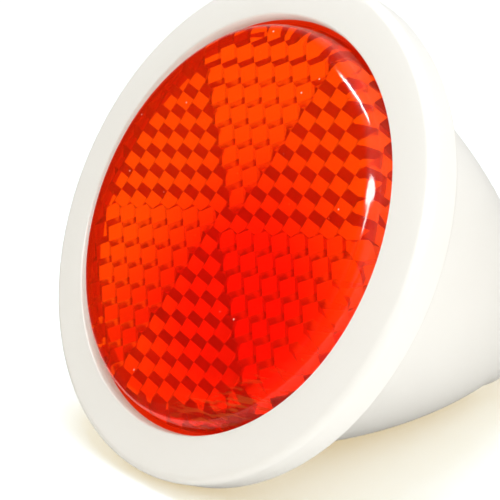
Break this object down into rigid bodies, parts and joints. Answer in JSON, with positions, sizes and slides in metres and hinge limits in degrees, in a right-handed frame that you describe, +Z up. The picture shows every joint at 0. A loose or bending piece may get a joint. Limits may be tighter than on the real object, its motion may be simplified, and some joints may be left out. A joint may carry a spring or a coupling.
{
  "type": "mudguard reflector",
  "caption": "Round red prism reflector in a white bullet-shaped housing with a flange, fixed to a mudguard by the stud at its tail.",
  "frame": {"origin": "centre of the flat seat at the tail, which lies against the mudguard", "axes": "+Y out of the seat along the stud; the lens faces -Y; rows of prisms run along X; +Z up"},
  "size_m": [0.0636, 0.0685, 0.0636],
  "materials": {
    "lens_red": "clear red acrylic, polished front, prisms moulded into the back",
    "housing_white": "white moulded plastic, smooth, softly glossy",
    "zinc_plated_steel": "bright zinc plate"
  },
  "bodies": {
    "root": {"lens": "lens_red", "housing": "housing_white", "bolt": "zinc_plated_steel"}
  },
  "joints": []
}
